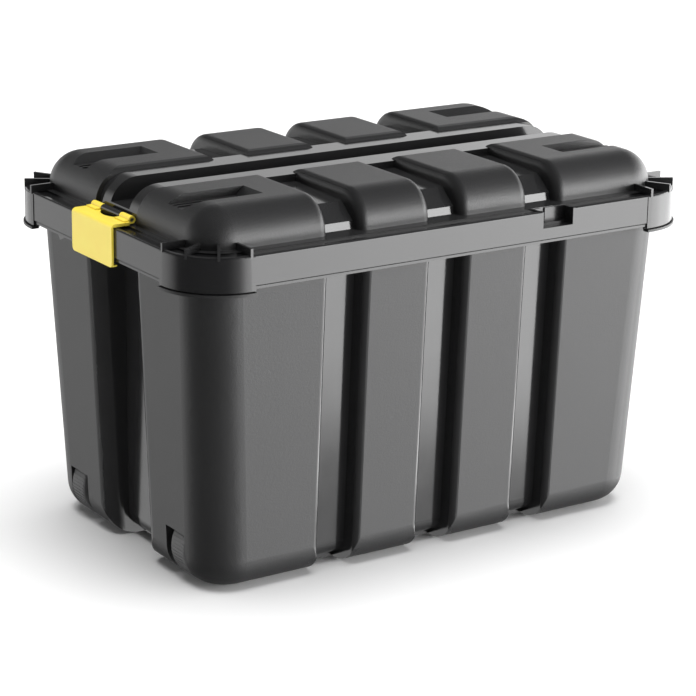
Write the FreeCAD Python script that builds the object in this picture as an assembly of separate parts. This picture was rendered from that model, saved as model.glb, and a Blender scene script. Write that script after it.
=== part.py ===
"""Wheeled storage trunk with a lift-off lid, two hooked latches, two wheels and a sliding tote tray.

Frame: millimetres, +Z up, origin at the centre of the footprint on the floor. X runs along the trunk, with
the wheels at -X. Y runs across it. The part is built as it comes apart on a bench: tub, lid, latches and
their pins, wheels with their axles and clips, tray and dividers.
"""
import FreeCAD
import Part
import math
import os

V = FreeCAD.Vector

# Driving dimensions
lid_length = 790.0
lid_width = 516.0
lid_corner_radius = 80.0
lid_rim_z = 460.0
lid_top_z = 509.0
skirt_bottom_z = 422.0
corner_skirt_drop = 7.0
lid_wall = 3.0
lid_corner_proud = 0.8
corner_reach = 86.0         # from the rim's end to where its thicker corner section starts
notch_x0 = 132.0
notch_x1 = 181.0
notch_depth = 20.0
notch_floor_z = 437.0

dome_length = 728.0         # raised part of the lid, inside the rim
dome_width = 446.0
dome_corner_radius = 48.0
dome_edge_radius = 45.0
dome_draft = 2.0
dome_foot_z = 455.0
lobe_wall_radius = 12.0
cross_channel_half = 23.0
cross_channel_flare = 2.5
spine_half_width = 55.0     # centre channel between the two rows of lobes
spine_top_z = 503.5
spine_inset = 5.0
groove_half_width = 25.0
groove_floor_z = 474.0
core_half_length = 330.0
core_profile = [(205.0, 470.0), (178.0, 490.5), (60.0, 494.0)]  # (half width, z) of the cross channels' floor
pocket_floor_z = 498.0
pocket_inner_x = 236.0
pocket_inner_y = 111.0
pocket_outer_y = 161.0
pocket_ridge_y = (121.0, 131.5)

tub_top_length = 740.0
tub_top_width = 464.0
tub_bottom_length = 702.0
tub_bottom_width = 426.0
tub_draft_height = 422.0
tub_corner_radius = 58.0
tub_bottom_radius = 44.0
tub_wall = 3.5
tub_rim_z = 454.5
rim_clearance = 2.0         # between the tub's lip and the inside of the lid's skirt
lip_thickness = 3.0
lip_bottom_z = 419.0
bead_height = 3.4
bead_proud = 3.4
corner_bead_proud = 8.4

channel_pitch = 157.0
side_channel_half = 28.0
side_channel_depth = 26.0
side_channel_radius = 9.0
end_channel_half = 50.0
end_channel_radius = 24.0
end_channel_floor_x = 324.0
channel_top_z = 428.0
channel_foot_z = 9.0        # underside of the channels' floor, where it turns under
channel_foot_radius = 24.0
channel_undercut = 25.0
channel_corner_radius = 40.0
channel_mouth_angle = 4.0   # degrees from the wall at which the rounded mouth runs out

wheel_radius = 46.0
wheel_width = 34.0
wheel_x = -308.5
wheel_z = 46.2
wheel_well_radius = 52.0
wheel_well_inner_y = 109.0
wheel_well_outer_y = 157.0
wheel_side_gap = 1.6
wheel_running_gap = 0.08
tread_bars = 60
tread_bar_width = 1.8
tread_bar_height = 0.7
wheel_spokes = 6
axle_radius = 6.0
axle_boss_length = 5.0
axle_boss_wall = 7.0
axle_head_length = 3.0

latch_half_width = 54.0
latch_pivot_x = 367.0
latch_pivot_z = 467.0
latch_bottom_z = 408.0
latch_thickness = 3.0
latch_gap = 0.6
latch_hook_length = 5.6
latch_corner_radius = 7.0
latch_shoulder_radius = 6.0
latch_barrel_radius = 5.0
latch_lug_inner_y = 25.0
latch_lug_outer_y = 51.0
latch_pin_radius = 2.5
latch_running_gap = 0.05
latch_clear = 3.0           # room left round the latch hook

tray_start_x = -316.0
tray_length = 300.0
tray_lip_half_width = 222.0
tray_body_half_width = 196.0
tray_rim_z = 437.0
tray_depth = 78.0
tray_wall = 2.5
tray_draft = 6.0
tray_corner_radius = 22.0
tray_floor_radius = 8.0
tray_lip_thickness = 3.0
tray_runner_y = 208.0
divider_offset = 50.0
divider_thickness = 2.6
divider_slot = 3.4
guide_thickness = 2.5
guide_depth = 12.0

REACH = 60.0                # how far cutting shapes run past the surfaces that they cut


# Plan outlines and basic solids

def rounded_rectangle(hx, hy, r, z):
    """Closed wire of a rounded rectangle with half sizes hx and hy at height z."""
    k = r * (1 - math.sqrt(0.5))
    edges = []
    corners = [(1, 1), (-1, 1), (-1, -1), (1, -1)]
    starts = []
    for sx, sy in corners:
        along_x = V(sx * (hx - r), sy * hy, z)
        along_y = V(sx * hx, sy * (hy - r), z)
        middle = V(sx * (hx - k), sy * (hy - k), z)
        first, last = (along_y, along_x) if sx * sy > 0 else (along_x, along_y)
        starts.append((first, middle, last))
    for i, (first, middle, last) in enumerate(starts):
        edges.append(Part.Arc(first, middle, last).toShape())
        following = starts[(i + 1) % 4][0]
        edges.append(Part.LineSegment(last, following).toShape())
    return Part.Wire(edges)


def drafted_block(low, high):
    """Solid between two rounded rectangles, each given as (hx, hy, r, z)."""
    return Part.makeLoft([rounded_rectangle(*low), rounded_rectangle(*high)], True, True)


def rounded_prism(hx, hy, r, z0, z1):
    return drafted_block((hx, hy, r, z0), (hx, hy, r, z1))


def ring(hx, hy, r, thickness, z0, z1):
    """Upright band whose outer face is the rounded rectangle."""
    outer = rounded_prism(hx, hy, r, z0, z1)
    inner = rounded_prism(hx - thickness, hy - thickness, r - thickness, z0 - 1, z1 + 1)
    return outer.cut(inner)


def box(x0, x1, y0, y1, z0, z1):
    return Part.makeBox(x1 - x0, y1 - y0, z1 - z0, V(x0, y0, z0))


def prism(points, direction):
    """Straight prism over a closed polygon of vectors."""
    return Part.Face(Part.makePolygon(points + [points[0]])).extrude(direction)


def cylinder_y(x, z, r, y0, y1):
    return Part.makeCylinder(r, y1 - y0, V(x, y0, z), V(0, 1, 0))


def fillet_where(shape, radius, test):
    """Fillets the edges whose bounding box passes the test."""
    chosen = [e for e in shape.Edges if test(e.BoundBox)]
    return shape.makeFillet(radius, chosen)


def mirror_x(shape):
    return shape.mirror(V(0, 0, 0), V(1, 0, 0))


def mirror_y(shape):
    return shape.mirror(V(0, 0, 0), V(0, 1, 0))


def half_turn(shape):
    turned = shape.copy()
    turned.rotate(V(0, 0, 0), V(0, 0, 1), 180)
    return turned


def fuse_all(shapes):
    return shapes[0].multiFuse(shapes[1:]) if len(shapes) > 1 else shapes[0]


def save(name, shape):
    """Writes one named piece, as clean solids, to its own STEP file."""
    solids = shape.Solids
    piece = solids[0] if len(solids) == 1 else Part.makeCompound(solids)
    piece.exportStep(os.path.join("parts", name + ".step"))
    print(f"{name:22s} solids {len(solids)}  valid {piece.isValid()}  volume {piece.Volume / 1000:9.1f} cm3")


# Tub

def tub_half(top, bottom, z):
    """Half size of the drafted tub wall at height z."""
    return 0.5 * (bottom + (top - bottom) * z / tub_draft_height)


def channel_outline(face, half, radius, depth, z):
    """Plan outline of one channel on the face at y = -face: flared mouth, straight walls and flat floor."""
    mouth_angle = math.radians(channel_mouth_angle)
    centre = V(half + radius, -face + radius, z)

    def on_mouth(angle):
        return centre + V(-radius * math.sin(angle), -radius * math.cos(angle), 0)

    start = on_mouth(mouth_angle)
    middle = on_mouth(0.5 * (mouth_angle + 0.5 * math.pi))
    wall_top = on_mouth(0.5 * math.pi)
    floor = V(half - 2.0, -face + depth, z)
    run_out = start + V(20.0 * math.cos(mouth_angle), -20.0 * math.sin(mouth_angle), 0)
    outside = V(run_out.x, -face - REACH, z)

    def left(p):
        return V(-p.x, p.y, p.z)

    edges = [
        Part.LineSegment(outside, run_out).toShape(),
        Part.LineSegment(run_out, start).toShape(),
        Part.Arc(start, middle, wall_top).toShape(),
        Part.LineSegment(wall_top, floor).toShape(),
        Part.LineSegment(floor, left(floor)).toShape(),
        Part.LineSegment(left(floor), left(wall_top)).toShape(),
        Part.Arc(left(wall_top), left(middle), left(start)).toShape(),
        Part.LineSegment(left(start), left(run_out)).toShape(),
        Part.LineSegment(left(run_out), left(outside)).toShape(),
        Part.LineSegment(left(outside), outside).toShape(),
    ]
    return Part.Wire(edges)


def channel_cutter(top, bottom, half, radius, depth, inset, z_top):
    """Drafted cutter of a channel in the -Y wall, centred on x = 0. inset moves the wall face inwards."""
    wires = []
    for z in (-6.0, z_top):
        face = tub_half(top, bottom, z) - inset
        wires.append(channel_outline(face, half, radius, depth(z), z))
    return Part.makeLoft(wires, True, True)


def tub_body(inset, base_z, z_high):
    """The tub's lobed, drafted body, shrunk by inset: used once for the outside and once for the inside."""
    def size(z):
        hx = tub_half(tub_top_length, tub_bottom_length, z) - inset
        hy = tub_half(tub_top_width, tub_bottom_width, z) - inset
        return hx, hy, tub_corner_radius - inset, z

    def side_depth(z):
        return side_channel_depth + channel_undercut

    def end_depth(z):
        return tub_half(tub_top_length, tub_bottom_length, z) - end_channel_floor_x + channel_undercut

    body = drafted_block(size(base_z), size(z_high))
    body = fillet_where(body, tub_bottom_radius - inset, lambda b: b.ZMax < base_z + 0.01)
    z_top = channel_top_z + inset
    side = channel_cutter(tub_top_width, tub_bottom_width, side_channel_half + inset,
                          side_channel_radius - inset, side_depth, inset, z_top)
    end = channel_cutter(tub_top_length, tub_bottom_length, end_channel_half + inset,
                         end_channel_radius - inset, end_depth, inset, z_top)
    end.rotate(V(0, 0, 0), V(0, 0, 1), -90)
    cutters = [end, mirror_x(end)]
    for i in (-1, 0, 1):
        one = side.copy()
        one.translate(V(i * channel_pitch, 0, 0))
        cutters += [one, mirror_y(one)]
    body = body.cut(cutters)

    # The channels' floors: a drafted core, turned under above the trunk's base
    def core_size(z):
        hy = tub_half(tub_top_width, tub_bottom_width, z) - side_channel_depth - inset
        return end_channel_floor_x - inset, hy, channel_corner_radius - inset, z

    core_base = channel_foot_z + inset
    core = drafted_block(core_size(core_base), core_size(z_high))
    core = fillet_where(core, channel_foot_radius - inset, lambda b: b.ZMax < core_base + 0.01)
    return body.fuse(core)


def wheel_well(margin, side):
    """The space around one wheel, grown by margin. side is -1 for the near wheel and +1 for the far wheel."""
    y0, y1 = sorted((side * (wheel_well_inner_y - margin), side * (wheel_well_outer_y + margin)))
    r = wheel_well_radius + margin
    drum = cylinder_y(wheel_x, wheel_z, r, y0, y1)
    mouth = box(wheel_x - r - REACH, wheel_x + r, y0, y1, -REACH, wheel_z)
    return drum.fuse(mouth)


def at_four_corners(shape):
    """The shape and its three mirror images about the trunk's middle planes."""
    return [shape, mirror_x(shape), mirror_y(shape), half_turn(shape)]


def corner_regions(z0, z1):
    """Four upright blocks that cover the rounded corners of the rim."""
    inner_x = 0.5 * lid_length - corner_reach
    inner_y = 0.5 * lid_width - corner_reach
    size = corner_reach + REACH
    return fuse_all(at_four_corners(box(inner_x, inner_x + size, inner_y, inner_y + size, z0, z1)))


def padlock_notch(z0, z1, margin):
    """The notch in the near side of the rim and its twin, half a turn round, grown by margin."""
    face_y = -0.5 * lid_width
    near = box(notch_x0 - margin, notch_x1 + margin, face_y - REACH, face_y + notch_depth + margin, z0, z1)
    return [near, half_turn(near)]


def boss_and_bore(side):
    """Bosses on both walls of one wheel well, and the bore through them."""
    bosses = []
    for y in (wheel_well_inner_y - tub_wall - axle_boss_length, wheel_well_outer_y + tub_wall):
        y0, y1 = sorted((side * y, side * (y + axle_boss_length)))
        bosses.append(cylinder_y(wheel_x, wheel_z, axle_radius + axle_boss_wall, y0, y1))
    y0, y1 = sorted((side * (wheel_well_inner_y - 20.0), side * (wheel_well_outer_y + 20.0)))
    return bosses, cylinder_y(wheel_x, wheel_z, axle_radius, y0, y1)


def tub_rim():
    """Flange, downturned lip and outer bead. The lip and bead hang lower at the corners."""
    hx = 0.5 * lid_length - lid_wall - rim_clearance
    hy = 0.5 * lid_width - lid_wall - rim_clearance
    r = lid_corner_radius - lid_wall - rim_clearance

    def bead(proud, z):
        return ring(hx + proud, hy + proud, r + proud, proud + 2.0, z - 2.0, z - 2.0 + bead_height)

    corner_z = lip_bottom_z - corner_skirt_drop
    corners = corner_regions(corner_z - REACH, lip_bottom_z + 5.0)
    flange = rounded_prism(hx, hy, r, tub_rim_z - 4.0, tub_rim_z)
    lip = ring(hx, hy, r, lip_thickness, lip_bottom_z, tub_rim_z - 2.0)
    corner_lip = ring(hx, hy, r, lip_thickness, corner_z, lip_bottom_z + 1.0).common(corners)
    straight_bead = bead(bead_proud, lip_bottom_z).cut(corners)
    corner_bead = bead(corner_bead_proud, corner_z).common(corners)
    return [flange, lip, corner_lip, straight_bead, corner_bead]


def build_tub():
    outside = tub_body(0.0, 0.0, tub_rim_z)
    inside = tub_body(tub_wall, tub_wall, tub_rim_z + 5.0)
    housings = [wheel_well(tub_wall, side).common(outside) for side in (-1, 1)]
    wells = [wheel_well(0.0, side) for side in (-1, 1)]
    tub = outside.fuse(tub_rim()).cut(inside).fuse(housings).cut(wells)
    for side in (-1, 1):
        bosses, bore = boss_and_bore(side)
        tub = tub.fuse(bosses).cut(bore)

    # The lip steps back behind each latch hook, and the rim is notched at the padlock points
    end_x = -0.5 * lid_length
    half = latch_half_width + latch_clear
    hook_room = box(end_x - REACH, end_x + 10.5, -half, half, lip_bottom_z - 10.0, 438.0)
    tub = tub.cut([hook_room, mirror_x(hook_room)])
    tub = tub.cut(padlock_notch(notch_floor_z - lid_wall - 4.0, tub_rim_z + 5.0, 4.0))
    return tub.removeSplitter()


# Lid

def lid_dome(inset, top_z, low_z, edge_radius):
    """The raised part of the lid as one rounded block, shrunk by inset."""
    hx = 0.5 * dome_length - inset
    hy = 0.5 * dome_width - inset
    r = dome_corner_radius - inset
    low = (hx, hy, r, low_z)
    high = (hx - dome_draft, hy - dome_draft, r - dome_draft, top_z)
    return fillet_where(drafted_block(low, high), edge_radius, lambda b: b.ZMin > top_z - 0.01)


def cross_channel(x):
    """Cutter of one cross channel, with walls that lean out a little."""
    low, high = dome_foot_z - 5.0, lid_top_z + 10.0
    half_high = cross_channel_half + cross_channel_flare
    points = [V(x - cross_channel_half, -300, low), V(x + cross_channel_half, -300, low),
              V(x + half_high, -300, high), V(x - half_high, -300, high)]
    return prism(points, V(0, 600, 0))


def lid_lobes():
    """Two rows of four pillow-shaped lobes."""
    dome = lid_dome(0.0, lid_top_z, dome_foot_z, dome_edge_radius)
    channel_xs = [i * channel_pitch for i in (-1, 0, 1)]
    lean = cross_channel_half + 0.5 * cross_channel_flare
    walls = [x + s * lean for x in channel_xs for s in (-1, 1)]

    def on_wall(b):
        upright = b.XLength < 3.5 and b.ZMax > dome_foot_z + 1.0
        return upright and any(abs(b.Center.x - w) < 2.0 for w in walls)

    rows = dome.cut([cross_channel(x) for x in channel_xs]).Solids
    lobes = fuse_all([fillet_where(row, lobe_wall_radius, on_wall) for row in rows])

    # The centre channel, with a coved edge up to the lobes' tops
    edge = [(spine_half_width, spine_top_z - 2.0), (spine_half_width + 3.0, spine_top_z + 1.5),
            (spine_half_width + 8.0, spine_top_z + 4.2), (spine_half_width + 14.0, lid_top_z)]
    right = [(spine_half_width, dome_foot_z - 5.0)] + edge + [(spine_half_width + 14.0, lid_top_z + REACH)]
    flare = [V(-450, y, z) for y, z in right] + [V(-450, -y, z) for y, z in reversed(right)]
    return lobes.cut(prism(flare, V(900, 0, 0)))


def lid_raised():
    """Lobes, spine and channel floors, with the groove and the finger pockets cut in."""
    spine_reach = spine_half_width + lobe_wall_radius
    spine = lid_dome(spine_inset, spine_top_z, dome_foot_z, dome_edge_radius - 3.0)
    spine = spine.common(box(-400, 400, -spine_reach, spine_reach, 440, 520))
    near = [(core_profile[0][0], dome_foot_z)] + core_profile
    outline = [V(-core_half_length, -y, z) for y, z in near]
    outline += [V(-core_half_length, y, z) for y, z in reversed(near)]
    core = prism(outline, V(2 * core_half_length, 0, 0))
    groove = box(-400, 400, -groove_half_width, groove_half_width, groove_floor_z, lid_top_z + REACH)
    raised = lid_lobes().fuse([spine, core]).cut(groove)

    # Finger pockets in the corner lobes, with sloped sides and two grip ridges
    mouth_z = lid_top_z + 2.0
    end_slope = [V(-pocket_inner_x, 0, mouth_z), V(-pocket_inner_x - 14.0, 0, pocket_floor_z),
                 V(-420, 0, pocket_floor_z), V(-420, 0, mouth_z)]
    side_slope = [V(0, -pocket_inner_y, pocket_floor_z), V(0, -pocket_inner_y, mouth_z),
                  V(0, -pocket_outer_y, mouth_z), V(0, -pocket_outer_y + 16.0, pocket_floor_z)]
    pocket = prism(end_slope, V(0, -200, 0)).common(prism(side_slope, V(-450, 0, 0)))
    raised = raised.cut(at_four_corners(pocket))
    dome = lid_dome(0.0, lid_top_z, dome_foot_z, dome_edge_radius)
    for y in pocket_ridge_y:
        ridge = box(-360, -pocket_inner_x - 18.0, -y - 1.5, -y + 1.5,
                    pocket_floor_z - 1.0, pocket_floor_z + 1.6)
        raised = raised.fuse(at_four_corners(ridge.common(dome)))
    return raised


def lid_rim():
    """Flat rim with a shallow gutter, skirt and thicker, deeper corner sections."""
    hx, hy, r = 0.5 * lid_length, 0.5 * lid_width, lid_corner_radius
    rim = rounded_prism(hx, hy, r, skirt_bottom_z, lid_rim_z)
    rim = fillet_where(rim, 2.5, lambda b: b.ZMin > lid_rim_z - 0.01)
    corners = corner_regions(skirt_bottom_z - REACH, lid_rim_z - 2.0)
    corner_skin = rounded_prism(hx + lid_corner_proud, hy + lid_corner_proud, r + lid_corner_proud,
                                skirt_bottom_z - corner_skirt_drop, lid_rim_z - 2.0)
    gutter = ring(hx - 6.0, hy - 6.0, r - 6.0, 16.0, lid_rim_z - 2.2, lid_rim_z + 5.0)
    return rim.fuse(corner_skin.common(corners)).cut(gutter)


def corner_ribs():
    """Four upright ribs across the gutter at each corner."""
    ribs = []
    r = lid_corner_radius
    for step in range(4):
        rib = box(44.0, r + lid_corner_proud, -1.8, 1.8, lid_rim_z - 4.0, lid_rim_z + 9.0)
        rib.rotate(V(0, 0, 0), V(0, 0, 1), 30.0 * step)
        rib.translate(V(0.5 * lid_length - r, 0.5 * lid_width - r, 0))
        ribs += at_four_corners(rib)
    return ribs


def lid_hollow():
    """Everything taken out from below: skirt, channel floors and the inside of each lobe."""
    w = lid_wall
    deck_z = core_profile[2][1] - 6.5
    step_z = core_profile[0][1] + 0.5
    outer_y = core_profile[0][0] - w
    cavity = rounded_prism(0.5 * lid_length - w, 0.5 * lid_width - w, lid_corner_radius - w,
                           380.0, dome_foot_z)
    inner = lid_dome(w, lid_top_z - w, dome_foot_z - 15.0, dome_edge_radius - w)
    under_spine = lid_dome(spine_inset + w, spine_top_z - w, dome_foot_z - 15.0, dome_edge_radius - 6.0)
    sides = [box(-400, 400, 62, outer_y, 430, step_z), box(-400, 400, -outer_y, -62, 430, step_z)]
    skirt_step = inner.common(box(-400, 400, -outer_y, outer_y, 430, step_z)).common(under_spine.fuse(sides))
    hollows = [cavity, skirt_step]
    lobe_edge = cross_channel_half + cross_channel_flare + w
    starts = [-362.0] + [i * channel_pitch + lobe_edge for i in (-1, 0, 1)]
    for s in (-1, 1):
        y0, y1 = sorted((s * (groove_half_width + w), s * 172.0))
        hollows.append(box(-338, 338, y0, y1, 440, deck_z))
        y0, y1 = sorted((s * (spine_half_width + 16.0), s * 222.0))
        for x0, end in zip(starts, reversed(starts)):
            hollows.append(inner.common(box(x0, -end, y0, y1, 440, 520)))
    cover = box(-400, -pocket_inner_x + 8.0, -pocket_outer_y - 4.0, -pocket_inner_y + 6.0,
                pocket_floor_z - w, 530)
    return fuse_all(hollows).cut(at_four_corners(cover))


def build_lid():
    housing = fuse_all(padlock_notch(notch_floor_z - lid_wall, lid_rim_z - 1.0, lid_wall))
    housing = housing.common(rounded_prism(0.5 * lid_length, 0.5 * lid_width, lid_corner_radius,
                                           skirt_bottom_z + 5.0, lid_rim_z))
    lid = lid_rim().fuse([lid_raised()] + corner_ribs() + [housing]).cut(lid_hollow().cut(housing))
    lid = lid.cut(padlock_notch(notch_floor_z, lid_rim_z + 5.0, 0.0))

    # A slot and a ledge in the back of each notch take the padlock's shackle
    back_y = -0.5 * lid_width + notch_depth
    slot = box(notch_x0 + 10.0, notch_x0 + 17.0, back_y - 3.0, back_y + 2.2,
               notch_floor_z + 2.0, lid_rim_z + 5.0)
    ledge = box(notch_x0, notch_x1, back_y - 6.0, back_y + 1.0, notch_floor_z, notch_floor_z + 3.0)
    lid = lid.fuse([ledge, half_turn(ledge)]).cut([slot, half_turn(slot)])

    # Latch seat: a centre knuckle on a foot at each end, bored for the latch pin
    half = latch_lug_inner_y - 1.0
    knuckle = cylinder_y(-latch_pivot_x, latch_pivot_z, latch_barrel_radius, -half, half)
    foot = box(-latch_pivot_x - latch_barrel_radius, -latch_pivot_x + latch_barrel_radius, -half, half,
               lid_rim_z - 3.0, latch_pivot_z)
    seat = knuckle.fuse(foot)
    bore = cylinder_y(-latch_pivot_x, latch_pivot_z, latch_pin_radius, -REACH, REACH)
    return lid.fuse([seat, mirror_x(seat)]).cut([bore, mirror_x(bore)]).removeSplitter()


# Latches

def build_latch():
    """Latch of the -X end: top plate over the rim, two hinge lugs, front plate and inward hook."""
    w = latch_half_width
    inner_x = -0.5 * lid_length - latch_gap
    outer_x = inner_x - latch_thickness
    hook_x = inner_x + latch_hook_length
    hook_top_z = latch_bottom_z + 3.2
    under_z = lid_rim_z + 1.0
    top_z = under_z + 4.0
    back_x = -latch_pivot_x - latch_barrel_radius - 0.2
    profile = [V(outer_x, -w, latch_bottom_z), V(hook_x, -w, latch_bottom_z), V(hook_x, -w, hook_top_z),
               V(inner_x, -w, hook_top_z), V(inner_x, -w, under_z), V(back_x, -w, under_z),
               V(back_x, -w, top_z), V(outer_x, -w, top_z)]
    body = prism(profile, V(0, 2 * w, 0))

    def outer_edge(b):
        return b.XLength < 0.01 and b.ZLength < 0.01 and abs(b.XMin - outer_x) < 0.1

    body = fillet_where(body, latch_shoulder_radius, lambda b: outer_edge(b) and b.ZMin > top_z - 0.1)
    body = fillet_where(body, 1.5, lambda b: outer_edge(b) and b.ZMax < latch_bottom_z + 0.1)
    mask = box(outer_x - 5.0, back_x + 5.0, -w, w, latch_bottom_z, top_z + 5.0)
    mask = fillet_where(mask, latch_corner_radius, lambda b: b.YLength < 0.01 and b.ZLength < 0.01
                        and b.ZMax < latch_bottom_z + 0.1)
    scallop = Part.makeCylinder(34.0, 40.0, V(-latch_pivot_x + 20.0, 0, 450.0), V(0, 0, 1))
    body = body.common(mask).cut(scallop)
    lugs = []
    for s in (-1, 1):
        y0, y1 = sorted((s * latch_lug_inner_y, s * latch_lug_outer_y))
        lugs.append(cylinder_y(-latch_pivot_x, latch_pivot_z, latch_barrel_radius, y0, y1))
        lugs.append(box(-latch_pivot_x - 12.0, -latch_pivot_x, y0, y1, under_z + 1.2, top_z + 2.0))
    bore = cylinder_y(-latch_pivot_x, latch_pivot_z, latch_pin_radius + latch_running_gap, -REACH, REACH)
    return body.fuse(lugs).cut(bore).removeSplitter()


def build_latch_pin():
    half = latch_lug_outer_y - 0.5
    return cylinder_y(-latch_pivot_x, latch_pivot_z, latch_pin_radius, -half, half)


# Wheels

def build_wheel(side):
    """One-piece moulded wheel with a ribbed tread, dished sides and a running bore."""
    half = 0.5 * wheel_width
    hub_radius = axle_radius + 5.0
    web_y = half - 12.0
    tread = cylinder_y(0, 0, wheel_radius - tread_bar_height, -half, half)
    wheel = tread.makeChamfer(1.5, [e for e in tread.Edges if len(e.Vertexes) == 1])
    bars = []
    for i in range(tread_bars):
        bar = box(wheel_radius - 3.0, wheel_radius, -half + 2.0, half - 2.0,
                  -0.5 * tread_bar_width, 0.5 * tread_bar_width)
        bar.rotate(V(0, 0, 0), V(0, 1, 0), i * 360.0 / tread_bars)
        bars.append(bar)
    dish = cylinder_y(0, 0, wheel_radius - 7.0, web_y, half + 1.0)
    dish = dish.cut(cylinder_y(0, 0, hub_radius, web_y - 1.0, half + 2.0))
    spokes = []
    for i in range(wheel_spokes):
        spoke = box(0, wheel_radius - 5.0, web_y - 1.0, half - 1.0, -1.5, 1.5)
        spoke.rotate(V(0, 0, 0), V(0, 1, 0), i * 360.0 / wheel_spokes)
        spokes.append(spoke)
    dish = dish.cut(spokes)
    bore = cylinder_y(0, 0, axle_radius + wheel_running_gap, -half - 2.0, half + 2.0)
    wheel = wheel.fuse(bars).cut([dish, mirror_y(dish), bore])
    wheel.translate(V(wheel_x, side * (wheel_well_outer_y - wheel_side_gap - half), wheel_z))
    return wheel


def axle_inner_y(side):
    return side * (wheel_well_inner_y - tub_wall - axle_boss_length)


def build_axle(side):
    """Headed steel pin through the wheel and both walls of its well."""
    outer = side * (wheel_well_outer_y + tub_wall + axle_boss_length)
    y0, y1 = sorted((axle_inner_y(side) - side * 6.0, outer))
    pin = cylinder_y(wheel_x, wheel_z, axle_radius, y0, y1)
    y0, y1 = sorted((outer, outer + side * axle_head_length))
    head = cylinder_y(wheel_x, wheel_z, axle_radius + 4.0, y0, y1)
    return pin.fuse(head).removeSplitter()


def build_axle_clip(side):
    """Push-on retaining washer on the inner end of the axle."""
    y0, y1 = sorted((axle_inner_y(side) - side * 2.0, axle_inner_y(side)))
    disc = cylinder_y(wheel_x, wheel_z, axle_radius + 4.5, y0, y1)
    return disc.cut(cylinder_y(wheel_x, wheel_z, axle_radius, y0 - 1, y1 + 1))


# Tray

tray_centre_x = tray_start_x + 0.5 * tray_length
tray_floor_z = tray_rim_z - tray_depth


def tray_shell():
    """Drafted box with rounded corners, an even wall and a rolled rim."""
    hx, hy, t = 0.5 * tray_length, tray_body_half_width, tray_wall
    r, d = tray_corner_radius, tray_draft
    outer = drafted_block((hx - d, hy - d, r, tray_floor_z), (hx, hy, r, tray_rim_z))
    outer = fillet_where(outer, tray_floor_radius, lambda b: b.ZMax < tray_floor_z + 0.01)
    inner = drafted_block((hx - d - t, hy - d - t, r - t, tray_floor_z + t),
                          (hx - t, hy - t, r - t, tray_rim_z + 1.0))
    inner = fillet_where(inner, tray_floor_radius - t, lambda b: b.ZMax < tray_floor_z + t + 0.01)
    return outer, inner, ring(hx, hy, r, 5.0, tray_rim_z - tray_lip_thickness, tray_rim_z)


def build_tray():
    """Tote tray that hangs by its side lips on the channels' tops, with a hand hole at each end."""
    hx = 0.5 * tray_length
    outer, inner, rim = tray_shell()
    lip = box(-hx + 18.0, hx - 18.0, -tray_lip_half_width, tray_lip_half_width,
              tray_rim_z - tray_lip_thickness, tray_rim_z)
    lip = fillet_where(lip, 8.0, lambda b: b.XLength < 0.01 and b.YLength < 0.01)
    runner_z = channel_top_z + tub_wall + 0.4
    runners = []
    guides = []
    for s in (-1, 1):
        y0, y1 = sorted((s * tray_runner_y, s * (tray_runner_y + 3.0)))
        runners.append(box(-hx + 24.0, hx - 24.0, y0, y1, runner_z, tray_rim_z - 2.0))
        y0, y1 = sorted((s * (tray_body_half_width - guide_depth), s * (tray_body_half_width - 1.0)))
        for x in (-divider_offset, divider_offset):
            for x0 in (x - 0.5 * divider_slot - guide_thickness, x + 0.5 * divider_slot):
                guide = box(x0, x0 + guide_thickness, y0, y1, tray_floor_z + 1.0, tray_rim_z - 8.0)
                guides.append(guide.common(outer))
    hand_hole = box(-hx - 5.0, hx + 5.0, -42.0, 42.0, tray_rim_z - 30.0, tray_rim_z - 9.0)
    hand_hole = fillet_where(hand_hole, 9.0, lambda b: b.YLength < 0.01 and b.ZLength < 0.01)
    tray = outer.fuse(lip).cut(inner).fuse([rim] + runners + guides).cut(hand_hole)
    tray.translate(V(tray_centre_x, 0, 0))
    return tray.removeSplitter()


def build_divider(offset):
    """Removable cross wall that drops between the tray's guides."""
    foot_z = tray_floor_z + 6.0
    top_z = tray_rim_z - 10.0
    low, high = 178.0, 187.0
    points = [V(0, -low, foot_z), V(0, low, foot_z), V(0, high, top_z), V(0, -high, top_z)]
    plate = prism(points, V(divider_thickness, 0, 0))
    plate = fillet_where(plate, 6.0, lambda b: b.YLength < 0.01 and b.ZLength < 0.01)
    plate.translate(V(tray_centre_x + offset - 0.5 * divider_thickness, 0, 0))
    return plate


os.makedirs("parts", exist_ok=True)

save("tub", build_tub())
save("lid", build_lid())
latch = build_latch()
save("latch_wheel_end", latch)
save("latch_plain_end", mirror_x(latch))
pin = build_latch_pin()
save("latch_pin_wheel_end", pin)
save("latch_pin_plain_end", mirror_x(pin))
for label, side in (("near", -1), ("far", 1)):
    save("wheel_" + label, build_wheel(side))
    save("axle_" + label, build_axle(side))
    save("axle_clip_" + label, build_axle_clip(side))
save("tray", build_tray())
save("divider_1", build_divider(-divider_offset))
save("divider_2", build_divider(divider_offset))
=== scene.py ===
"""Wheeled storage trunk: looks of the tub, lid, latches, wheels and tray, on a pale studio floor."""
import math
import bmesh
import bpy
from mathutils import Matrix, Vector


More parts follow.
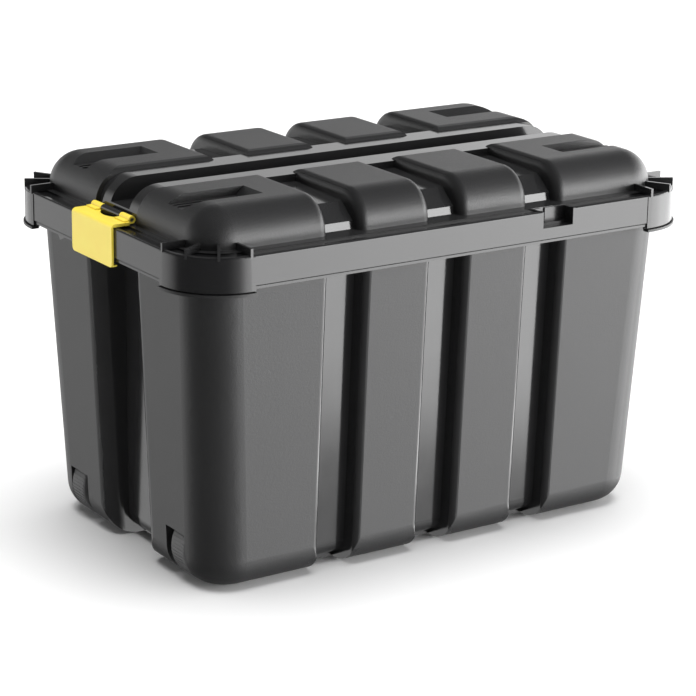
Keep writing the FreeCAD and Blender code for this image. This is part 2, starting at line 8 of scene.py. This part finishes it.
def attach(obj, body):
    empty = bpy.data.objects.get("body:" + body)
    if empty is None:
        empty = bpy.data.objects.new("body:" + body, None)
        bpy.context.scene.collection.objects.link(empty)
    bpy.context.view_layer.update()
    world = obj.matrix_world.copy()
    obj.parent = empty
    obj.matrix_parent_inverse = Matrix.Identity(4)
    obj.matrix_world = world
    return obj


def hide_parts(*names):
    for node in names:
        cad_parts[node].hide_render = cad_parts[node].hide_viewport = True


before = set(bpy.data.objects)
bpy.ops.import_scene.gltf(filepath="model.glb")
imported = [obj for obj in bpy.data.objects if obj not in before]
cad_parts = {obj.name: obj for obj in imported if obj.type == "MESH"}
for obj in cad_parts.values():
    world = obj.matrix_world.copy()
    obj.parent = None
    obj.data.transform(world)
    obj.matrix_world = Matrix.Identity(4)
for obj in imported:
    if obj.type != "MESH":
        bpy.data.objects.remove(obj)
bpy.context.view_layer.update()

# Tub. One injection moulding in black polypropylene. The tool is spark-eroded on the outer panels, which
# gives them a fine grain, and polished in the channels. The rim is satin, apart from its low-hanging
# corners, which keep the panels' grain, and the inside walls are plain.


class Wire:
    """A shader socket that can stand in a sum, so that a finish reads as arithmetic."""

    def __init__(self, finish, socket):
        self.finish = finish
        self.socket = socket

    def maths(self, operation, *values):
        return self.finish.node("ShaderNodeMath", {"operation": operation}, *values)

    def __add__(self, other):
        return self.maths("ADD", self, other)

    def __radd__(self, other):
        return self.maths("ADD", other, self)

    def __sub__(self, other):
        return self.maths("SUBTRACT", self, other)

    def __rsub__(self, other):
        return self.maths("SUBTRACT", other, self)

    def __mul__(self, other):
        return self.maths("MULTIPLY", self, other)

    def __rmul__(self, other):
        return self.maths("MULTIPLY", other, self)


class Finish:
    """A node material that is wired up one node at a time."""

    def __init__(self, name):
        self.material = bpy.data.materials.new(name)
        self.material.use_nodes = True
        self.tree = self.material.node_tree
        self.shader = self.tree.nodes["Principled BSDF"]

    def join(self, value, socket):
        if isinstance(value, Wire):
            self.tree.links.new(value.socket, socket)
        elif value is not None:
            socket.default_value = value

    def node(self, kind, settings, *values, out=0, **named):
        made = self.tree.nodes.new(kind)
        for setting, value in settings.items():
            setattr(made, setting, value)
        for value, socket in zip(values, made.inputs):
            self.join(value, socket)
        for label, value in named.items():
            self.join(value, made.inputs[label.replace("_", " ")])
        return Wire(self, made.outputs[out])

    def place(self):
        return self.node("ShaderNodeTexCoord", {}, out="Object")

    def speckle(self, scale, detail, roughness):
        return self.node("ShaderNodeTexNoise", {}, Vector=self.place(), Scale=scale, Detail=detail,
                         Roughness=roughness)

    def tint(self, factor, dark, light):
        """Colour between dark and light. The mixer's first ends and outputs are for numbers and vectors."""
        number_and_vector_ends = (None,) * 5
        colour_output = 2
        return self.node("ShaderNodeMix", {"data_type": "RGBA"}, factor, *number_and_vector_ends,
                         (*dark, 1.0), (*light, 1.0), out=colour_output)

    def relief(self, height, depth):
        return self.node("ShaderNodeBump", {}, Distance=depth, Height=height)

    def surface(self, colour, roughness, relief):
        """Wires these three to the shader and hands back the material."""
        self.join(colour, self.shader.inputs["Base Color"])
        self.join(roughness, self.shader.inputs["Roughness"])
        self.join(relief, self.shader.inputs["Normal"])
        return self.material


def grained_plastic(name, dark, light, roughness, grain_depth):
    """Spark-eroded polypropylene: fine pebbled grain under a sheen that is a little patchy."""
    finish = Finish(name)
    pebbles = finish.speckle(scale=430.0, detail=3.0, roughness=0.6)
    fine = finish.speckle(scale=1700.0, detail=2.0, roughness=0.5)
    patches = finish.speckle(scale=9.0, detail=3.0, roughness=0.55)
    patch_sheen, pebble_sheen = 0.05, 0.10
    shade = 0.6 * pebbles + 0.4 * patches
    sheen = roughness + patch_sheen * (patches - 0.5) + pebble_sheen * (pebbles - 0.5)
    grain = 0.7 * pebbles + 0.3 * fine
    finish.shader.inputs["IOR"].default_value = polypropylene_ior
    return finish.surface(finish.tint(shade, dark, light), sheen, finish.relief(grain, grain_depth))


def polished_plastic(name, dark, light, roughness):
    """Polypropylene from a polished tool: near-mirror, with some haze and slight sink waves."""
    finish = Finish(name)
    haze = finish.speckle(scale=22.0, detail=4.0, roughness=0.6)
    waves = finish.speckle(scale=6.0, detail=0.0, roughness=0.3)
    haze_sheen, wave_depth = 0.08, 0.0001
    sheen = roughness + haze_sheen * (haze - 0.5)
    finish.shader.inputs["IOR"].default_value = polypropylene_ior
    return finish.surface(finish.tint(haze, dark, light), sheen, finish.relief(waves, wave_depth))


def moulded_copy(node, name, finishes, choose):
    """The piece as its tool shaped it, each face in the finish that choose(centre, normal) gives it."""
    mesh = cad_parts[node].data.copy()
    mesh.name = name
    mesh.materials.clear()
    for finish in finishes:
        mesh.materials.append(finish)
    for face in mesh.polygons:
        face.material_index = finishes.index(choose(face.center, face.normal))
    piece = bpy.data.objects.new(name, mesh)
    bpy.context.scene.collection.objects.link(piece)
    return piece


polypropylene_ior = 1.5
black_low, black_high = (0.010, 0.010, 0.0105), (0.018, 0.018, 0.0185)
# The polished black is the plastic's own black, painted lighter than the panels' black as painted light in
# the shaded channels of tub and lid.
gloss_low_painted_light, gloss_high_painted_light = (0.015, 0.015, 0.0155), (0.021, 0.021, 0.0215)
satin_low, satin_high = (0.006, 0.006, 0.0065), (0.010, 0.010, 0.0105)
panel_roughness, panel_grain_depth = 0.46, 0.00025
inside_roughness, inside_grain_depth = 0.52, 0.00008
gloss_roughness, satin_roughness = 0.12, 0.20
panel_grain = grained_plastic(
    "grained black polypropylene", black_low, black_high, panel_roughness, panel_grain_depth)
channel_gloss = polished_plastic("polished black polypropylene", gloss_low_painted_light, gloss_high_painted_light, gloss_roughness)
rim_satin = polished_plastic("satin black polypropylene", satin_low, satin_high, satin_roughness)
inside_plain = grained_plastic(
    "plain black polypropylene", black_low, black_high, inside_roughness, inside_grain_depth)

channel_pitch = 0.157
channel_half_width = 0.0365
outermost_channel_edge = 0.24
end_channel_half_width = 0.066
side_at_foot, end_at_foot, wall_draft = 0.213, 0.351, 0.045
deepest_side_channel, deepest_end_channel = 0.060, 0.075
edge_roll, steep = 0.005, 0.3
wall_thickness, inside_foot = 0.0032, 0.045
rim_underside = 0.4165


def tub_finish(centre, normal):
    """A satin rim by height, then polished channels, plain inside walls and grained panels by depth."""
    if centre.z > rim_underside:
        return rim_satin
    side_depth = side_at_foot + wall_draft * centre.z - abs(centre.y)
    end_depth = end_at_foot + wall_draft * centre.z - abs(centre.x)
    from_middle = abs(centre.x - channel_pitch * round(centre.x / channel_pitch))
    in_side_channel = abs(centre.x) < outermost_channel_edge and from_middle < channel_half_width
    in_end_channel = abs(centre.y) < end_channel_half_width
    if in_side_channel and side_depth < deepest_side_channel:
        if side_depth > edge_roll or abs(normal.x) > steep:
            return channel_gloss
    if in_end_channel and end_depth < deepest_end_channel:
        if end_depth > edge_roll or abs(normal.y) > steep:
            return channel_gloss
    inside = min(side_depth, end_depth) > wall_thickness and centre.z > inside_foot
    return inside_plain if inside else panel_grain


tub_finishes = [panel_grain, channel_gloss, rim_satin, inside_plain]
tub_moulding = moulded_copy("tub", "tub_moulding", tub_finishes, tub_finish)
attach(tub_moulding, "tub")
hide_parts("tub")

# Lid. A second moulding in the same black polypropylene. Its eight pillow lobes carry the grain. The
# channels between them, the centre groove, the gutter and the corner ribs are polished; the skirt is satin.

lobe_roughness, lobe_grain_depth = 0.40, 0.00045
lobe_grain = grained_plastic("grained black lobe", black_low, black_high, lobe_roughness, lobe_grain_depth)
# The lid's channels take the same lightened black: painted light in their shade.
lid_gloss = polished_plastic("polished black channel", gloss_low_painted_light, gloss_high_painted_light, gloss_roughness)
skirt_satin = polished_plastic("satin black skirt", satin_low, satin_high, satin_roughness)

skirt_top, lobe_foot = 0.4595, 0.4602
lobe_end, lobe_inner_side, lobe_outer_side = 0.3645, 0.0545, 0.2235
lobe_corner_x, lobe_corner_y, lobe_corner_radius = 0.316, 0.175, 0.0485
cross_channel_half_width = 0.0232
outermost_cross_channel = 0.19


def lid_finish(centre, normal):
    """Grained lobes, a satin skirt, and polish everywhere between."""
    if centre.z < skirt_top:
        return skirt_satin
    from_middle = abs(centre.x - channel_pitch * round(centre.x / channel_pitch))
    in_cross_channel = abs(centre.x) < outermost_cross_channel and from_middle < cross_channel_half_width
    in_row = abs(centre.x) < lobe_end and lobe_inner_side < abs(centre.y) < lobe_outer_side
    past_x = max(abs(centre.x) - lobe_corner_x, 0.0)
    past_y = max(abs(centre.y) - lobe_corner_y, 0.0)
    on_lobe = in_row and centre.z > lobe_foot and math.hypot(past_x, past_y) < lobe_corner_radius
    return lobe_grain if on_lobe and not in_cross_channel else lid_gloss


lid_moulding = moulded_copy("lid", "lid_moulding", [lobe_grain, lid_gloss, skirt_satin], lid_finish)

# The upright foot of each web between two lobes leans out a little, for the tool's draft
web_foot_y, web_foot_z, web_lean = 0.205, 0.460, 0.0022
close = 0.0002
for vertex in lid_moulding.data.vertices:
    at_foot = abs(abs(vertex.co.y) - web_foot_y) < close and abs(vertex.co.z - web_foot_z) < close
    if at_foot and abs(vertex.co.x) < outermost_cross_channel:
        vertex.co.y += math.copysign(web_lean, vertex.co.y)
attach(lid_moulding, "lid")
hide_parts("lid")

# Latches. Two small mouldings in yellow polypropylene from a lightly polished tool. Each swings on a drawn
# steel pin that is pressed through the lid's centre knuckle.

yellow_low, yellow_high = (0.97, 0.74, 0.075), (0.99, 0.83, 0.110)
steel_low, steel_high = (0.48, 0.48, 0.49), (0.64, 0.64, 0.65)


def latch_plastic(name):
    """Bright yellow moulding: flow marks in the colour, soft gloss and a trace of orange peel."""
    finish = Finish(name)
    flow = finish.speckle(scale=30.0, detail=3.0, roughness=0.5)
    peel = finish.speckle(scale=420.0, detail=2.0, roughness=0.5)
    least_roughness, flow_sheen, peel_depth = 0.30, 0.08, 0.00005
    sheen = least_roughness + flow_sheen * flow
    colour = finish.tint(flow, yellow_low, yellow_high)
    return finish.surface(colour, sheen, finish.relief(peel, peel_depth))


def turned_steel(name, roughness):
    """Drawn, zinc-plated steel with fine lines round the pin."""
    finish = Finish(name)
    along_pin, across_pin = 4000.0, 300.0
    squeeze = (across_pin, along_pin, across_pin)
    squeezed = finish.node("ShaderNodeMapping", {}, Vector=finish.place(), Scale=squeeze)
    lines = finish.node("ShaderNodeTexNoise", {}, Vector=squeezed, Scale=1.0, Detail=2.0)
    line_sheen, line_depth = 0.12, 0.00002
    sheen = roughness + line_sheen * (lines - 0.5)
    finish.shader.inputs["Metallic"].default_value = 1.0
    colour = finish.tint(lines, steel_low, steel_high)
    return finish.surface(colour, sheen, finish.relief(lines, line_depth))


def wear(finish, *nodes):
    """Gives each of these pieces the one finish all over."""
    for node in nodes:
        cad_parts[node].data.materials.clear()
        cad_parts[node].data.materials.append(finish)


wear(latch_plastic("yellow polypropylene"), "latch_wheel_end", "latch_plain_end")
wear(turned_steel("drawn steel pin", roughness=0.30), "latch_pin_wheel_end", "latch_pin_plain_end")

# Wheels. Each is one hard moulding with a ribbed tread, turning on a headed, zinc-plated stub axle that a
# push-on washer keeps in the tub's well.

grey_low, grey_high = (0.085, 0.085, 0.086), (0.15, 0.15, 0.151)


def wheel_plastic(name):
    """Dark grey hard plastic, scuffed and pitted by the ground."""
    finish = Finish(name)
    scuffs = finish.speckle(scale=160.0, detail=4.0, roughness=0.65)
    pits = finish.speckle(scale=1200.0, detail=2.0, roughness=0.5)
    least_roughness, scuff_sheen, wear_depth = 0.50, 0.15, 0.00015
    sheen = least_roughness + scuff_sheen * scuffs
    worn = 0.6 * scuffs + 0.4 * pits
    colour = finish.tint(scuffs, grey_low, grey_high)
    return finish.surface(colour, sheen, finish.relief(worn, wear_depth))


wear(wheel_plastic("dark grey wheel plastic"), "wheel_near", "wheel_far")
axle_steel = turned_steel("zinc-plated axle", roughness=0.34)
wear(axle_steel, "axle_near", "axle_far", "axle_clip_near", "axle_clip_far")

# Tray. A thin-walled tote in the same black polypropylene, with a hand hole in each end wall and two
# dividers that drop between its guides. It hangs by its side lips and slides on the tub's channels.

tray_roughness, tray_grain_depth = 0.44, 0.00012
tray_grain = grained_plastic(
    "black tray polypropylene", black_low, black_high, tray_roughness, tray_grain_depth)
wear(tray_grain, "tray", "divider_1", "divider_2")

# Studio. A pale floor under a soft white ceiling, with upright banks of light to the right, left and back.
# The dark gap in front of the near corner shows up the rounded corners of the black plastic.

floor_half_width, floor_gap = 14.0, 0.0004
floor_white, floor_roughness = (0.92, 0.92, 0.92, 1.0), 0.9
sheet = bmesh.new()
bmesh.ops.create_grid(sheet, x_segments=1, y_segments=1, size=floor_half_width)
floor_mesh = bpy.data.meshes.new("floor")
sheet.to_mesh(floor_mesh)
sheet.free()
floor = bpy.data.objects.new("floor", floor_mesh)
bpy.context.scene.collection.objects.link(floor)
floor_finish = Finish("pale floor")
floor_finish.shader.inputs["Base Color"].default_value = floor_white
floor_finish.shader.inputs["Roughness"].default_value = floor_roughness
floor_mesh.materials.append(floor_finish.material)
floor.location.z = -floor_gap
floor.visible_glossy = False
floor.visible_shadow = False

bank_core_share, bank_head_edge = 0.45, 0.25


class Sky(Finish):
    """The studio's surround, wired up like a finish."""

    def __init__(self, name):
        self.material = bpy.data.worlds.new(name)
        self.material.use_nodes = True
        self.tree = self.material.node_tree
        self.shader = self.tree.nodes["Background"]

    def toward(self, direction):
        looking = self.node("ShaderNodeTexCoord", {}, out="Generated")
        aim = tuple(Vector(direction).normalized())
        return self.node("ShaderNodeVectorMath", {"operation": "DOT_PRODUCT"}, looking, aim, out="Value")

    def ease(self, amount, start, full):
        smooth = {"interpolation_type": "SMOOTHSTEP"}
        return self.node("ShaderNodeMapRange", smooth, amount, start, full, 0.0, 1.0)

    def bank(self, direction, half_angle, foot, foot_edge, head):
        """Upright bank of light round a compass direction. Its foot and head are sines of elevation."""
        flat = self.toward((*direction, 0.0))
        height = self.toward((0.0, 0.0, 1.0))
        across = self.ease(flat, math.cos(half_angle), math.cos(bank_core_share * half_angle))
        above_foot = self.ease(height, foot, foot + foot_edge)
        above_head = self.ease(height, head, head + bank_head_edge)
        return across * above_foot * (1.0 - above_head)


surround = Sky("studio surround")
bank_right = surround.bank((0.97, -0.24), math.radians(72), foot=-0.395, foot_edge=0.012, head=0.10)
wash_right = surround.bank((0.80, -0.60), math.radians(70), foot=-1.02, foot_edge=0.5, head=0.45)
strip_right = surround.bank((0.80, -0.60), math.radians(66), foot=-0.03, foot_edge=0.05, head=0.08)
bank_left = surround.bank((-0.45, 0.89), math.radians(52), foot=-0.60, foot_edge=0.25, head=0.15)
bank_back = surround.bank((0.87, 0.50), math.radians(50), foot=0.05, foot_edge=0.12, head=0.35)
flag = surround.ease(surround.toward((0.95, 0.30, 0.0)), start=0.70, full=0.98)
glow, flag_shade = 0.14, 0.55
right_strength, wash_strength, strip_strength, left_strength, back_strength = 6.8, 1.2, 5.0, 1.35, 0.95
flagged_right = right_strength * bank_right * (1.0 - flag_shade * flag)
right_and_left = flagged_right + wash_strength * wash_right + left_strength * bank_left
upright_banks = right_and_left + back_strength * bank_back
surround.join(glow + upright_banks + strip_strength * strip_right, surround.shader.inputs["Strength"])
surround.shader.inputs["Color"].default_value = (1.0, 1.0, 1.0, 1.0)
bpy.context.scene.world = surround.material
bpy.context.scene.view_settings.view_transform = "Standard"

ceiling = bpy.data.lights.new("white ceiling", "SUN")
ceiling.energy = 3.3
ceiling.angle = math.radians(50)
ceiling_lamp = bpy.data.objects.new("white ceiling", ceiling)
ceiling_lamp.visible_glossy = False
bpy.context.scene.collection.objects.link(ceiling_lamp)

# Camera. It stands off the trunk's wheel corner, looking a little down, with a long lens.

look_at = Vector((0.0034, 0.0076, 0.2241))
distance, focal_length, film_width = 3.49, 129.51, 36.0
heading, dip, tilt = math.radians(33.579), math.radians(16.914), math.radians(0.813)
ahead = Vector((math.sin(heading) * math.cos(dip), math.cos(heading) * math.cos(dip), -math.sin(dip)))
level = Vector((math.cos(heading), -math.sin(heading), 0.0))
upright = level.cross(ahead)
right = math.cos(tilt) * level + math.sin(tilt) * upright
up = math.cos(tilt) * upright - math.sin(tilt) * level
lens = bpy.data.cameras.new("camera")
lens.lens = focal_length
lens.sensor_width = film_width
camera = bpy.data.objects.new("camera", lens)
turn = Matrix((right, up, -ahead)).transposed()
camera.matrix_world = Matrix.Translation(look_at - distance * ahead) @ turn.to_4x4()
bpy.context.scene.collection.objects.link(camera)
bpy.context.scene.camera = camera
